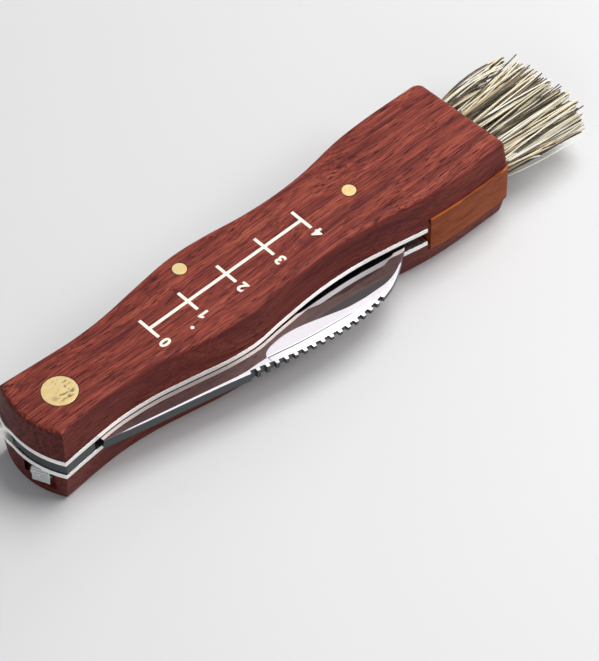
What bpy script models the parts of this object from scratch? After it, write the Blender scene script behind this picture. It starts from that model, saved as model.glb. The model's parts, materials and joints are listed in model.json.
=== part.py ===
"""Folding mushroom knife, closed: wooden scales on steel liners, a saw-backed blade, and a
bristle brush set in the far end of the handle.

Frame: metres, +Z up. The origin is on the pivot axis at the bottom face, +X runs along the
handle to the brush, and the open side of the blade slot faces -Y.
"""
import math

import bmesh
import bpy
from mathutils import Matrix, Vector

MM = 0.001

# Stack of layers, as heights above the bottom face and as distances from the middle plane (mm)
THICKNESS = 20.2
MID = THICKNESS / 2
SLOT_HALF = 1.35
LINER = 1.15
SCALE_INNER = SLOT_HALF + LINER
BLOCK_HALF = 4.4
FIT = 0.05
WOOD_GAP = 0.1

# Handle plan: distances of the two long sides from the pivot line, at stations along X (mm)
SLOT_SIDE = [(-6.9, 9.1), (0, 8.45), (8, 8.0), (16, 8.6), (24, 10.1), (32, 11.75), (39, 12.4),
             (46, 11.75), (56, 11.05), (66, 11.4), (75, 12.8), (84, 14.5), (92, 15.2), (105, 15.2)]
SPINE_SIDE = [(-7.4, 10.3), (2, 9.6), (10, 9.05), (18, 9.35), (27, 10.65), (37, 11.85), (45, 11.4),
              (54, 10.05), (62, 9.5), (71, 9.9), (82, 11.7), (91, 12.15), (103, 11.9)]
PIVOT_END_X = -9.65
PIVOT_END_Y = 1.2
SLOT_END_X = 105.9
SPINE_END_X = 105.1
SLOT_CORNER = 1.4
SPINE_CORNER = 2.2
OUTLINE_STEP = 2.2
LINER_END_X = 83.4
LINER_STEP = 0.35
LINER_STEP_Y = 4.5
BLOCK_START_X = 84.2
REBATE_X = 83.9

# Wooden scales: the sides lean in towards the outer face, whose rim is rounded
SIDE_LEAN = 0.9
END_LEAN = 0.95
RIM_ROUND = 1.1
RIM_STEPS = 4

# Blade outline, closed (mm): spine, scribed line, swedge and cutting edge, as distances towards -Y
SPINE = [(2.5, 9.25), (9, 10.85), (18, 12.8), (27, 14.8), (35, 16.75), (44, 18.9), (52, 20.25),
         (58, 20.75), (64, 20.35), (69, 19.1), (73, 17.0), (77, 14.2), (79.5, 12.05), (80.6, 10.7)]
SCRIBE = [(2.5, 9.0), (9, 10.5), (18, 12.4), (27, 14.3), (33, 15.45), (38.6, 15.65), (46, 16.95),
          (52, 17.85), (58, 18.6), (62, 19.0), (66, 18.95), (69, 18.4), (71.5, 17.5), (74, 16.2),
          (77, 14.08), (79.5, 11.95), (80.6, 10.62)]
SWEDGE = [(38.6, 15.6), (39.3, 14.75), (40.4, 14.2), (42, 13.82), (44.5, 13.7), (48, 14.12),
          (53, 15.4), (58, 16.95), (62, 17.6), (66, 17.82), (69, 17.75), (71.5, 17.15),
          (74, 16.0), (77, 13.95), (79.5, 11.85), (80.6, 10.55)]
EDGE = [(2.5, -7.2), (9, -4.4), (14, -1.5), (26, 2.0), (42, 5.2), (56, 7.4), (68, 9.0),
        (76, 9.9), (80.6, 10.3)]
SWEDGE_RISE = (0.25, 0.7, 1.5)
SWEDGE_BODY = 2.6
SWEDGE_SLOPE = 0.08
STRIP_SLOPE = 0.1
BLADE_HALF = 1.15
BLADE_TIP_HALF = 0.7
TAPER_START_X = 36.0
TAPER_POWER = 0.6
TIP_X = 80.6
EDGE_HALF = 0.1
PLUNGE_X = (11.5, 14.0)
BLADE_STEP = 1.25
GRIND_SHARE = 0.62

# Tang (mm)
TANG_END_X = -9.3
TANG_STATIONS = [-9.3, -9.2, -9.0, -8.6, -8.1, -7.5, -7.0, -6.7, -4.0, -1.5]
TANG_CORNER = (-6.7, 9.03)
TANG_INSET = 0.05
TANG_SPINE_CORNER = (-7.0, 8.6)
KICK_NOTCH = (0.9, 2.45)
KICK_DEPTH = 1.1
END_NOTCH = (3.8, 4.7)
SWING_RADIUS = 11.3

# Saw teeth along the spine (mm)
TEETH = 16
TOOTH_START_X = 34.45
TOOTH_PITCH = 2.04
TOOTH_DEPTH = 0.72
GULLET_MOUTH = (-0.72, 0.8)
GULLET_FLOOR = (-0.58, 0.62)
GULLET_CLEAR = 0.4

# Pins, washers and inlays (mm)
PIVOT_R = 2.0
PIVOT_HOLE_R = 2.1
ROSETTE_R = 3.6
ROSETTE_DEPTH = 2.0
WASHER_R = 4.2
WASHER = 0.1
STOP_RADIUS = 5.7
STOP_R = 0.9
STOP_SLOT_R = 1.1
PIN_R = 1.5
FRONT_PIN = (36.6, 6.85)
REAR_PIN = (74.4, -1.1)

# Spacer along the spine: its inner side, from the block end to the pivot end (mm)
SPACER_START_X = 9.0
SPACER_GAP = 0.3
SPACER_INSET = 0.25
SPACER_SWING = (29, 49)
SPACER_INNER = [(83.4, -4.2), (72.5, -4.2), (69.5, -1.5), (66, 3.5), (58, 5.6), (43, 5.2),
                (40, 3.6), (33, 3.6), (30, 5.4), (20, 5.6)]

# Lock leaf under the lower liner (mm)
LEAF_TOP = 6.3
LEAF = 0.8
LEAF_ROOT_X = 36.0
LEAF_HALF_WIDTH = 4.6
LEAF_HOLE_R = 2.6
POCKET_FLOOR = 4.1
LEAF_AXIS = (36.0, 0.0, 5.9)
SHIM_X = (28.0, 35.6)
SHIM_HALF_WIDTH = 3.3
RIVETS = [(31.5, -2.4), (31.5, 2.4)]
RIVET_R = 0.8
RIVET_HEAD_R = 1.4
RIVET_HEAD = 0.65
LUG_X = (10.0, 12.4)
LUG_HALF_WIDTH = 2.6
TAB_ENDS = ((-9.95, -2.1), (-8.35, -5.5))
TAB_DROP = 2.5
TAB = 0.9
TAB_GAP = 0.1
TAB_RELIEF_FLOOR = 2.3
TAB_RELIEF_MARGINS = (0.45, 1.1)

# Faces that meet at less than this angle are one flat face (radians)
FLAT_ANGLE = 1e-3

# Brush (mm)
TUFTS_PER_ROW = 6
ROW_OFFSET = 2.15
ROW_SPREAD = 2.7
UPPER_ROOT_Y = (-11.9, 6.1)
UPPER_TIP_Y = (-14.0, 7.5)
LOWER_ROOT_Y = (-10.6, 6.1)
LOWER_TIP_Y = (-12.0, 7.4)
TUFT_HOLE_R = 1.5
TUFT_ROOT_R = 1.35
TUFT_TIP_R = 1.85
TUFT_SET = 6.0
TUFT_FREE = 23.2


def clear_scene():
    for obj in list(bpy.data.objects):
        bpy.data.objects.remove(obj, do_unlink=True)


def new_collection(name):
    collection = bpy.data.collections.new(name)
    bpy.context.scene.collection.children.link(collection)
    return collection


def make_material(name, colour, roughness, metallic):
    material = bpy.data.materials.new(name)
    material.use_nodes = True
    shader = material.node_tree.nodes["Principled BSDF"]
    shader.inputs["Base Color"].default_value = (*colour, 1.0)
    shader.inputs["Roughness"].default_value = roughness
    shader.inputs["Metallic"].default_value = metallic
    return material


def add_object(name, mesh, collection, material=None):
    obj = bpy.data.objects.new(name, mesh)
    collection.objects.link(obj)
    if material is not None:
        mesh.materials.append(material)
        mesh.shade_smooth()
        mesh.set_sharp_from_angle(angle=math.radians(32))
    return obj


def smooth_value(points, x):
    """Height at x of a smooth curve through the points, with slopes from their neighbours."""
    last = len(points) - 1
    i = 0
    while i < last - 1 and x > points[i + 1][0]:
        i += 1

    def slope(k):
        a, b = points[max(k - 1, 0)], points[min(k + 1, last)]
        return (b[1] - a[1]) / (b[0] - a[0])

    (x0, y0), (x1, y1) = points[i], points[i + 1]
    width = x1 - x0
    t = min(max((x - x0) / width, 0.0), 1.0)
    rise = (2 * t ** 3 - 3 * t ** 2 + 1) * y0 + (3 * t ** 2 - 2 * t ** 3) * y1
    lean = (t ** 3 - 2 * t ** 2 + t) * slope(i) + (t ** 3 - t ** 2) * slope(i + 1)
    return rise + lean * width


def stations(start, end, step):
    count = max(1, math.ceil((end - start) / step))
    return [start + (end - start) * k / count for k in range(count + 1)]


def arc_points(centre, radius, start, end, count):
    """Points on an arc, from one angle to another in degrees, both ends included."""
    angles = [math.radians(start + (end - start) * k / count) for k in range(count + 1)]
    return [(centre[0] + radius * math.cos(a), centre[1] + radius * math.sin(a)) for a in angles]


def arc_through(first, middle, last, count):
    """Points on the arc through three points, both ends included."""
    a, b, c = Vector(first), Vector(middle), Vector(last)
    d = 2 * ((b - a).x * (c - a).y - (b - a).y * (c - a).x)
    ab, ac = (b - a).length_squared, (c - a).length_squared
    centre = a + Vector((ab * (c - a).y - ac * (b - a).y, ac * (b - a).x - ab * (c - a).x)) / d
    start = math.degrees(math.atan2(a.y - centre.y, a.x - centre.x)) % 360
    end = math.degrees(math.atan2(c.y - centre.y, c.x - centre.x)) % 360
    return arc_points(centre, (a - centre).length, start, end, count)


def pivot_end():
    """The convex end face beside the pivot, from the spine corner to the slot corner."""
    spine, slot = SPINE_SIDE[0], SLOT_SIDE[0]
    return arc_through((spine[0], spine[1]), (PIVOT_END_X, PIVOT_END_Y), (slot[0], -slot[1]), 12)


def handle_outline(end_x=None):
    """Plan of the handle from the pivot end to end_x, counter-clockwise; whole with no end_x."""
    whole = end_x is None
    slot_end = SLOT_END_X - SLOT_CORNER if whole else end_x
    spine_end = SPINE_END_X - SPINE_CORNER if whole else end_x
    slot_x = stations(SLOT_SIDE[0][0], slot_end, OUTLINE_STEP)
    spine_x = stations(SPINE_SIDE[0][0], spine_end, OUTLINE_STEP)
    slot = [(x, -smooth_value(SLOT_SIDE, x)) for x in slot_x]
    spine = [(x, smooth_value(SPINE_SIDE, x)) for x in spine_x]
    points = slot[:]
    if whole:
        x, y = slot[-1]
        points += arc_points((x, y + SLOT_CORNER), SLOT_CORNER, -90, 0, 5)[1:]
        x, y = spine[-1]
        points += arc_points((x, y - SPINE_CORNER), SPINE_CORNER, 0, 90, 5)[:-1]
    points += reversed(spine)
    return points + pivot_end()[1:-1]


def slab_mesh(name, outline, low, high):
    """A flat plate with the given outline between two heights, from a filled 2D curve."""
    curve = bpy.data.curves.new(name, "CURVE")
    curve.dimensions = "2D"
    curve.fill_mode = "BOTH"
    curve.extrude = (high - low) / 2 * MM
    spline = curve.splines.new("POLY")
    spline.points.add(len(outline) - 1)
    for point, (x, y) in zip(spline.points, outline):
        point.co = (x * MM, y * MM, 0.0, 1.0)
    spline.use_cyclic_u = True
    holder = add_object(name + "_outline", curve, cutters)
    evaluated = holder.evaluated_get(bpy.context.evaluated_depsgraph_get())
    mesh = bpy.data.meshes.new_from_object(evaluated)
    bpy.data.objects.remove(holder)
    bpy.data.curves.remove(curve)
    mesh.name = name
    bm = bmesh.new()
    bm.from_mesh(mesh)
    bmesh.ops.remove_doubles(bm, verts=bm.verts, dist=1e-6)
    bmesh.ops.translate(bm, verts=bm.verts, vec=(0, 0, (low + high) / 2 * MM))
    flat = [e for e in bm.edges if e.calc_face_angle() < FLAT_ANGLE]
    bmesh.ops.dissolve_edges(bm, edges=[e for e in flat if abs(e.link_faces[0].normal.z) > 0.5])
    bmesh.ops.recalc_face_normals(bm, faces=bm.faces)
    bm.to_mesh(mesh)
    bm.free()
    return mesh


def scale_mesh(name, outline, low, high, outer_is_high):
    """A handle scale: a plate whose outer face is drawn in and whose outer rim is rounded."""
    mesh = slab_mesh(name, outline, low, high)
    outer = (high if outer_is_high else low) * MM
    bm = bmesh.new()
    bm.from_mesh(mesh)
    for vert in bm.verts:
        if abs(vert.co.z - outer) < 1e-6:
            vert.co.y *= SIDE_LEAN
            vert.co.x *= END_LEAN if vert.co.x < 0 else 1.0
    rim = [e for e in bm.edges if all(abs(v.co.z - outer) < 1e-6 for v in e.verts)]
    bmesh.ops.bevel(bm, geom=rim, offset=RIM_ROUND * MM, segments=RIM_STEPS, profile=0.5,
                    affect="EDGES", clamp_overlap=True)
    bm.to_mesh(mesh)
    bm.free()
    return mesh


def rod_mesh(name, radius, low, high, at=(0, 0), sides=32, top_radius=None):
    """An upright round rod, or a cone when its top radius differs."""
    bm = bmesh.new()
    bmesh.ops.create_cone(bm, cap_ends=True, segments=sides, radius1=radius * MM,
                          radius2=(radius if top_radius is None else top_radius) * MM,
                          depth=(high - low) * MM)
    centre = (at[0] * MM, at[1] * MM, (low + high) / 2 * MM)
    bmesh.ops.translate(bm, verts=bm.verts, vec=centre)
    mesh = bpy.data.meshes.new(name)
    bm.to_mesh(mesh)
    bm.free()
    return mesh


def box_mesh(name, x_range, y_range, z_range):
    bm = bmesh.new()
    bmesh.ops.create_cube(bm, size=1.0)
    for vert in bm.verts:
        for axis, (low, high) in enumerate((x_range, y_range, z_range)):
            vert.co[axis] = (low + (vert.co[axis] + 0.5) * (high - low)) * MM
    mesh = bpy.data.meshes.new(name)
    bm.to_mesh(mesh)
    bm.free()
    return mesh


def boolean(target, tool_mesh, operation="DIFFERENCE"):
    """Cut the target with a mesh, or join the mesh to it, through a hidden guide object."""
    tool = add_object("cutter_" + tool_mesh.name, tool_mesh, cutters)
    tool.hide_render = True
    tool.display_type = "WIRE"
    modifier = target.modifiers.new(tool_mesh.name, "BOOLEAN")
    modifier.operation = operation
    modifier.solver = "EXACT"
    modifier.object = tool


def drill(target, radius, at, low=-1.0, high=THICKNESS + 1.0, sides=32):
    label = f"hole_{len(bpy.data.meshes)}"
    boolean(target, rod_mesh(label, radius, low, high, at, sides))


def blade_half(x):
    """Half thickness of the blade, which thins towards the tip."""
    share = min(max((x - TAPER_START_X) / (TIP_X - TAPER_START_X), 0.0), 1.0)
    return BLADE_HALF + (BLADE_TIP_HALF - BLADE_HALF) * share ** TAPER_POWER


def blade_section(x):
    """Corners of the blade's upper half at x, from the spine to the cutting edge."""
    spine, edge = smooth_value(SPINE, x), smooth_value(EDGE, x)
    half = blade_half(x)
    scribe = smooth_value(SCRIBE, x)
    if x > SWEDGE[0][0]:
        strip, crease = smooth_value(SWEDGE, x), scribe
    else:
        strip, crease = scribe, (scribe + spine) / 2
    crease_half = half - SWEDGE_SLOPE * (crease - strip)
    spine_half = crease_half - STRIP_SLOPE * (spine - crease)
    open_grind = min(max((x - PLUNGE_X[0]) / (PLUNGE_X[1] - PLUNGE_X[0]), 0.0), 1.0)
    grind = edge + GRIND_SHARE * (strip - edge)
    edge_half = half + (EDGE_HALF - half) * open_grind
    return [(spine, spine_half), (crease, crease_half), (strip, half), (grind, half),
            (edge, edge_half)]


def tang_section(x):
    """Corners of the tang's upper half at x: full thickness from side to side."""
    end, (corner_x, corner_w) = TANG_END_X, TANG_CORNER
    spine_x, spine_y = TANG_SPINE_CORNER
    if x < corner_x:
        slot = corner_w * math.sqrt(max((x - end) / (corner_x - end), 0.02))
    else:
        slot = smooth_value(SLOT_SIDE, x) - TANG_INSET
    if x < spine_x:
        back = -spine_y * math.sqrt(max((x - end) / (spine_x - end), 0.1))
    else:
        back = -spine_y + (x - spine_x) * (spine_y - 7.2) / (2.5 - spine_x)
    if KICK_NOTCH[0] <= x <= KICK_NOTCH[1]:
        slot -= KICK_DEPTH
    share = [0.0, 0.05, 0.1, 0.5, 1.0]
    return [(slot + (back - slot) * s, BLADE_HALF) for s in share]


def blade_mesh():
    """Tang and blade as one loft of sections across X."""
    step = 0.02
    tang_x = TANG_STATIONS + [KICK_NOTCH[0] - step, KICK_NOTCH[0], KICK_NOTCH[1]]
    sections = [(x, tang_section(x)) for x in tang_x]
    blade_x = [KICK_NOTCH[1] + step] + stations(5.0, PLUNGE_X[0], 3.25)
    blade_x += stations(PLUNGE_X[1], SWEDGE[0][0], 2 * BLADE_STEP)
    blade_x += [SWEDGE[0][0] + rise for rise in SWEDGE_RISE]
    blade_x += stations(SWEDGE[0][0] + SWEDGE_BODY, TIP_X - 0.4, BLADE_STEP)
    blade_x.append(TIP_X)
    sections += [(x, blade_section(x)) for x in blade_x]
    bm = bmesh.new()
    rings = []
    for x, upper in sections:
        ring = [(w, half) for w, half in upper] + [(w, -half) for w, half in reversed(upper)]
        rings.append([bm.verts.new((x * MM, -w * MM, (MID + z) * MM)) for w, z in ring])
    size = len(rings[0])
    for near, far in zip(rings, rings[1:]):
        for k in range(size):
            bm.faces.new((near[k], near[(k + 1) % size], far[(k + 1) % size], far[k]))
    bm.faces.new(rings[0])
    bm.faces.new(rings[-1])
    bmesh.ops.recalc_face_normals(bm, faces=bm.faces)
    mesh = bpy.data.meshes.new("blade")
    bm.to_mesh(mesh)
    bm.free()
    return mesh


def saw_notches():
    """The gullets between the saw teeth, as one set of prisms square to the spine."""
    bm = bmesh.new()
    for k in range(TEETH):
        x = TOOTH_START_X + k * TOOTH_PITCH
        w = smooth_value(SPINE, x)
        slope = (smooth_value(SPINE, x + 0.5) - smooth_value(SPINE, x - 0.5))
        along = Vector((1.0, -slope)).normalized()
        inward = Vector((-along.y, along.x))
        foot = Vector((x, -w))
        mouth = [foot + share * along - GULLET_CLEAR * inward for share in GULLET_MOUTH]
        floor = [foot + share * along + TOOTH_DEPTH * inward for share in GULLET_FLOOR]
        corners = mouth + floor[::-1]
        low = [bm.verts.new((c.x * MM, c.y * MM, (MID - 2) * MM)) for c in corners]
        face = bm.faces.new(low)
        grown = bmesh.ops.extrude_face_region(bm, geom=[face])["geom"]
        top = [v for v in grown if isinstance(v, bmesh.types.BMVert)]
        bmesh.ops.translate(bm, verts=top, vec=(0, 0, 4 * MM))
    bmesh.ops.recalc_face_normals(bm, faces=bm.faces)
    mesh = bpy.data.meshes.new("saw_notches")
    bm.to_mesh(mesh)
    bm.free()
    return mesh


def make_blade(material):
    blade = add_object("blade", blade_mesh(), parts, material)
    drill(blade, PIVOT_HOLE_R, (0, 0))
    outer = arc_points((0, 0), STOP_RADIUS + STOP_SLOT_R, 0, 180, 20)
    inner = arc_points((0, 0), STOP_RADIUS - STOP_SLOT_R, 180, 0, 20)
    far_end = arc_points((-STOP_RADIUS, 0), STOP_SLOT_R, 180, 360, 8)[1:-1]
    near_end = arc_points((STOP_RADIUS, 0), STOP_SLOT_R, 180, 360, 8)[1:-1]
    slot = outer + far_end + inner + near_end
    boolean(blade, slab_mesh("stop_slot", slot, MID - 3, MID + 3))
    boolean(blade, saw_notches())
    boolean(blade, box_mesh("end_notch", (-12, TANG_END_X + 1.0), END_NOTCH, (MID - 3, MID + 3)))
    return blade


def make_scales(material):
    outline = handle_outline()
    pieces = []
    for name, is_upper in (("upper_scale", True), ("lower_scale", False)):
        side = 1 if is_upper else -1
        inner = MID + side * (SCALE_INNER + FIT)
        outer = MID + side * MID
        mesh = scale_mesh(name, outline, min(inner, outer), max(inner, outer), is_upper)
        scale = add_object(name, mesh, parts, material)
        rebate = sorted((MID, MID + side * (BLOCK_HALF + FIT)))
        boolean(scale, box_mesh(name + "_rebate", (REBATE_X, 120), (-25, 25), rebate))
        drill(scale, PIVOT_HOLE_R, (0, 0), sides=24)
        recess = sorted((outer + side * 1.0, outer - side * (ROSETTE_DEPTH + FIT)))
        drill(scale, ROSETTE_R + WOOD_GAP, (0, 0), recess[0], recess[1], sides=40)
        for pin in (FRONT_PIN, REAR_PIN):
            drill(scale, PIN_R + WOOD_GAP, pin, sides=24)
        pieces.append(scale)
    pocket = leaf_plan(0.6)
    low_inner = MID - SCALE_INNER
    boolean(pieces[1], slab_mesh("leaf_pocket", pocket, POCKET_FLOOR, low_inner + 1.0))
    (x0, y0), (x1, y1) = TAB_ENDS
    y0, y1 = y0 + TAB_RELIEF_MARGINS[0], y1 - TAB_RELIEF_MARGINS[1]
    relief = [(x0 - 3, y0), (x1 - 3, y1), (x1 + 1.8, y1), (x0 + 1.8, y0)]
    boolean(pieces[1], slab_mesh("tab_relief", relief, TAB_RELIEF_FLOOR, low_inner + 0.8))
    return pieces


def leaf_plan(margin):
    """Plan of the lock leaf: broad round the pivot and narrowing to the thumb tab."""
    (tab_x, tab_y), (tab_x2, tab_y2) = TAB_ENDS
    wide = LEAF_HALF_WIDTH + margin
    root = LEAF_ROOT_X + margin
    # a pocket runs out through the end face, the leaf stops at its tab
    reach = 2.0 if margin else 0.0
    return [(root, 3.4 + margin), (12, wide - 0.4), (0, wide), (-5.5, 2.2 + margin),
            (tab_x - reach, tab_y + 0.4 + margin), (tab_x2 - reach, tab_y2 - margin),
            (-3.5, -6.0 - margin), (0, -5.4 - margin), (12, -wide), (root, -3.4 - margin)]


def make_leaf(material):
    low = LEAF_TOP - LEAF
    leaf = add_object("lock_leaf", slab_mesh("lock_leaf", leaf_plan(0.0), low, LEAF_TOP),
                      parts, material)
    lug = box_mesh("lock_lug", LUG_X, (-LUG_HALF_WIDTH, LUG_HALF_WIDTH),
                   (low + 0.2, MID - BLADE_HALF - 0.15))
    boolean(leaf, lug, "UNION")
    (x0, y0), (x1, y1) = TAB_ENDS
    tab = [(x0, y0), (x1, y1), (x1 + TAB, y1 + 0.3), (x0 + TAB, y0 + 0.3)]
    tab_top = MID - SCALE_INNER - TAB_GAP
    boolean(leaf, slab_mesh("thumb_tab", tab, LEAF_TOP - TAB_DROP, tab_top), "UNION")
    drill(leaf, LEAF_HOLE_R, (0, 0), sides=24)
    for at in RIVETS:
        drill(leaf, RIVET_R + 0.2, at, sides=16)
    set_origin(leaf, LEAF_AXIS)


def make_leaf_fixing(shim_material, rivet_material):
    liner_low = MID - SCALE_INNER
    shim = box_mesh("leaf_shim", SHIM_X, (-SHIM_HALF_WIDTH, SHIM_HALF_WIDTH),
                    (LEAF_TOP + FIT, liner_low - FIT))
    shim = add_object("leaf_shim", shim, parts, shim_material)
    for at in RIVETS:
        drill(shim, RIVET_R + FIT, at, sides=16)
    low = LEAF_TOP - LEAF
    head_top = liner_low + LINER - low - 0.1
    profile = [(0, head_top), (RIVET_R, head_top), (RIVET_R, -0.25), (RIVET_HEAD_R, -0.25),
               (RIVET_HEAD_R, -0.25 - 0.7 * RIVET_HEAD),
               (0.8 * RIVET_HEAD_R, -0.25 - RIVET_HEAD), (0, -0.25 - RIVET_HEAD)]
    for k, (x, y) in enumerate(RIVETS):
        add_turned(f"leaf_rivet_{k + 1}", profile, (x, y, low), 16, rivet_material)


def add_turned(name, profile, at, sides, material):
    """A half profile of (radius, height) points, top to bottom, turned about an upright axis."""
    mesh = bpy.data.meshes.new(name)
    edges = [(k, k + 1) for k in range(len(profile) - 1)]
    mesh.from_pydata([(r * MM, 0.0, z * MM) for r, z in profile], edges, [])
    obj = add_object(name, mesh, parts, material)
    obj.location = Vector(at) * MM
    turn = obj.modifiers.new("turn", "SCREW")
    turn.axis = "Z"
    turn.steps = sides
    turn.render_steps = sides
    turn.use_merge_vertices = True
    turn.merge_threshold = 1e-6
    return obj


def set_origin(obj, point):
    """Put the object's origin at a point, given in mm, and leave its mesh where it is."""
    offset = Vector(point) * MM
    obj.data.transform(Matrix.Translation(-offset))
    obj.location = offset


def make_liners(material):
    outline = [(x - LINER_STEP if x < 0 and y > LINER_STEP_Y else x, y)
               for x, y in handle_outline(LINER_END_X)]
    for name, low in (("upper_liner", MID + SLOT_HALF), ("lower_liner", MID - SCALE_INNER)):
        liner = add_object(name, slab_mesh(name, outline, low, low + LINER), parts, material)
        drill(liner, PIVOT_HOLE_R, (0, 0))
        drill(liner, STOP_R + FIT, (STOP_RADIUS, 0), sides=20)
        for pin in (FRONT_PIN, REAR_PIN):
            drill(liner, PIN_R + FIT, pin, sides=24)
        if name == "lower_liner":
            for at in RIVETS:
                drill(liner, RIVET_R + FIT, at, sides=16)
            window = (-LUG_HALF_WIDTH - 0.3, LUG_HALF_WIDTH + 0.3)
            span = (LUG_X[0] - 0.3, LUG_X[1] + 0.3)
            boolean(liner, box_mesh("lug_window", span, window, (low - 1, low + LINER + 1)))


def make_spacer(material):
    """The spacer along the spine: it ends clear of the tang and swells to hold the rear pin."""
    outer = [(x, smooth_value(SPINE_SIDE, x) - SPACER_INSET)
             for x in stations(SPACER_START_X, LINER_END_X, OUTLINE_STEP)]
    swing = arc_points((0, 0), SWING_RADIUS + SPACER_GAP, *SPACER_SWING, 6)
    outline = swing + [p for p in outer if p[0] > swing[-1][0] + 0.4] + SPACER_INNER
    half = SLOT_HALF - FIT
    mesh = slab_mesh("back_spacer", outline, MID - half, MID + half)
    spacer = add_object("back_spacer", mesh, parts, material)
    for pin in (FRONT_PIN, REAR_PIN):
        drill(spacer, PIN_R + FIT, pin, sides=24)


def make_pins(steel, brass):
    span = MID - ROSETTE_DEPTH - 2 * FIT
    add_object("pivot_barrel", rod_mesh("pivot_barrel", PIVOT_R, MID - span, MID + span),
               parts, steel)
    top = THICKNESS
    upper = rod_mesh("upper_rosette", ROSETTE_R, top - ROSETTE_DEPTH, top, sides=40)
    lower = rod_mesh("lower_rosette", ROSETTE_R, 0, ROSETTE_DEPTH, sides=40)
    add_object("upper_rosette", upper, parts, brass)
    add_object("lower_rosette", lower, parts, brass)
    for name, at in (("front_handle_pin", FRONT_PIN), ("rear_handle_pin", REAR_PIN)):
        add_object(name, rod_mesh(name, PIN_R, 0, top, at, sides=24), parts, brass)
    reach = SCALE_INNER - 0.1
    stop = rod_mesh("stop_pin", STOP_R, MID - reach, MID + reach, (STOP_RADIUS, 0), sides=20)
    add_object("stop_pin", stop, parts, steel)
    for name, side in (("upper_washer", 1), ("lower_washer", -1)):
        faces = sorted((MID + side * (BLADE_HALF + FIT), MID + side * (BLADE_HALF + FIT + WASHER)))
        washer = add_object(name, rod_mesh(name, WASHER_R, faces[0], faces[1]), parts, brass)
        drill(washer, PIVOT_HOLE_R, (0, 0))


def make_block(material, tufts):
    outline = [(x, y) for x, y in handle_outline() if x > BLOCK_START_X]
    start = [(BLOCK_START_X, smooth_value(SPINE_SIDE, BLOCK_START_X)),
             (BLOCK_START_X, -smooth_value(SLOT_SIDE, BLOCK_START_X))]
    mesh = slab_mesh("brush_block", outline + start, MID - BLOCK_HALF, MID + BLOCK_HALF)
    block = add_object("brush_block", mesh, parts, material)
    bm = bmesh.new()
    for root, tip in tufts:
        along = (tip - root).normalized()
        turn = along.to_track_quat("Z", "Y").to_matrix().to_4x4()
        depth = TUFT_SET + 2.0
        centre = root + along * (depth / 2 - TUFT_SET - 0.3)
        bmesh.ops.create_cone(bm, cap_ends=True, segments=12, radius1=TUFT_HOLE_R * MM,
                              radius2=TUFT_HOLE_R * MM, depth=depth * MM,
                              matrix=Matrix.Translation(centre * MM) @ turn)
    holes = bpy.data.meshes.new("tuft_holes")
    bm.to_mesh(holes)
    bm.free()
    boolean(block, holes)


def tuft_lines():
    """Name, root and tip of each tuft: two rows that fan out, the upper one a little further."""
    lines = []
    for row, side, root_range, tip_range in (("upper", 1, UPPER_ROOT_Y, UPPER_TIP_Y),
                                             ("lower", -1, LOWER_ROOT_Y, LOWER_TIP_Y)):
        for k in range(TUFTS_PER_ROW):
            share = k / (TUFTS_PER_ROW - 1)
            root_y = root_range[0] + share * (root_range[1] - root_range[0])
            tip_y = tip_range[0] + share * (tip_range[1] - tip_range[0])
            root = Vector((SPINE_END_X, root_y, MID + side * ROW_OFFSET))
            tip = Vector((SPINE_END_X + TUFT_FREE, tip_y, MID + side * ROW_SPREAD))
            lines.append((f"tuft_{row}_{k + 1}", root, tip))
    return lines


def make_tufts(lines, material):
    """Each tuft as a slim cone from the bottom of its hole to its tip."""
    for name, root, tip in lines:
        along = (tip - root).normalized()
        foot = root - along * TUFT_SET
        length = (tip - foot).length
        bm = bmesh.new()
        bmesh.ops.create_cone(bm, cap_ends=True, segments=12, radius1=TUFT_ROOT_R * MM,
                              radius2=TUFT_TIP_R * MM, depth=length * MM)
        for vert in bm.verts:
            vert.co.z += length / 2 * MM
        mouth = bmesh.ops.bisect_plane(bm, geom=bm.verts[:] + bm.edges[:] + bm.faces[:],
                                       plane_co=(0, 0, (TUFT_SET + 0.5) * MM),
                                       plane_no=(0, 0, 1))["geom_cut"]
        for vert in [v for v in mouth if isinstance(v, bmesh.types.BMVert)]:
            shrink = TUFT_ROOT_R * MM / vert.co.xy.length
            vert.co.x *= shrink
            vert.co.y *= shrink
        turn = along.to_track_quat("Z", "Y").to_matrix().to_4x4()
        bmesh.ops.transform(bm, matrix=Matrix.Translation(foot * MM) @ turn, verts=bm.verts)
        mesh = bpy.data.meshes.new(name)
        bm.to_mesh(mesh)
        bm.free()
        add_object(name, mesh, parts, material)


clear_scene()
parts = new_collection("mushroom_knife")
cutters = new_collection("cutters")

red_wood = make_material("red_wood", (0.36, 0.09, 0.06), 0.4, 0.0)
light_wood = make_material("light_wood", (0.45, 0.16, 0.06), 0.45, 0.0)
polished_steel = make_material("polished_steel", (0.75, 0.75, 0.74), 0.18, 1.0)
spring_steel = make_material("spring_steel", (0.6, 0.6, 0.6), 0.35, 1.0)
brass = make_material("brass", (0.83, 0.68, 0.33), 0.3, 1.0)
bristle = make_material("bristle", (0.8, 0.74, 0.58), 0.6, 0.0)

make_scales(red_wood)
make_liners(polished_steel)
make_spacer(spring_steel)
make_blade(polished_steel)
make_leaf(spring_steel)
make_leaf_fixing(spring_steel, spring_steel)
make_pins(spring_steel, brass)
tuft_list = tuft_lines()
make_block(light_wood, [(root, tip) for _, root, tip in tuft_list])
make_tufts(tuft_list, bristle)
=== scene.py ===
"""Looks of the folding mushroom knife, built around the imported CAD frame.

Lengths are in metres in the CAD's own frame, and constants that end in _MM are in millimetres:
+X runs along the handle to the brush, -Y out of the blade slot, +Z up through the thickness.
"""
import json
import math
import random

import bmesh
import bpy
from mathutils import Matrix, Vector

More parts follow.
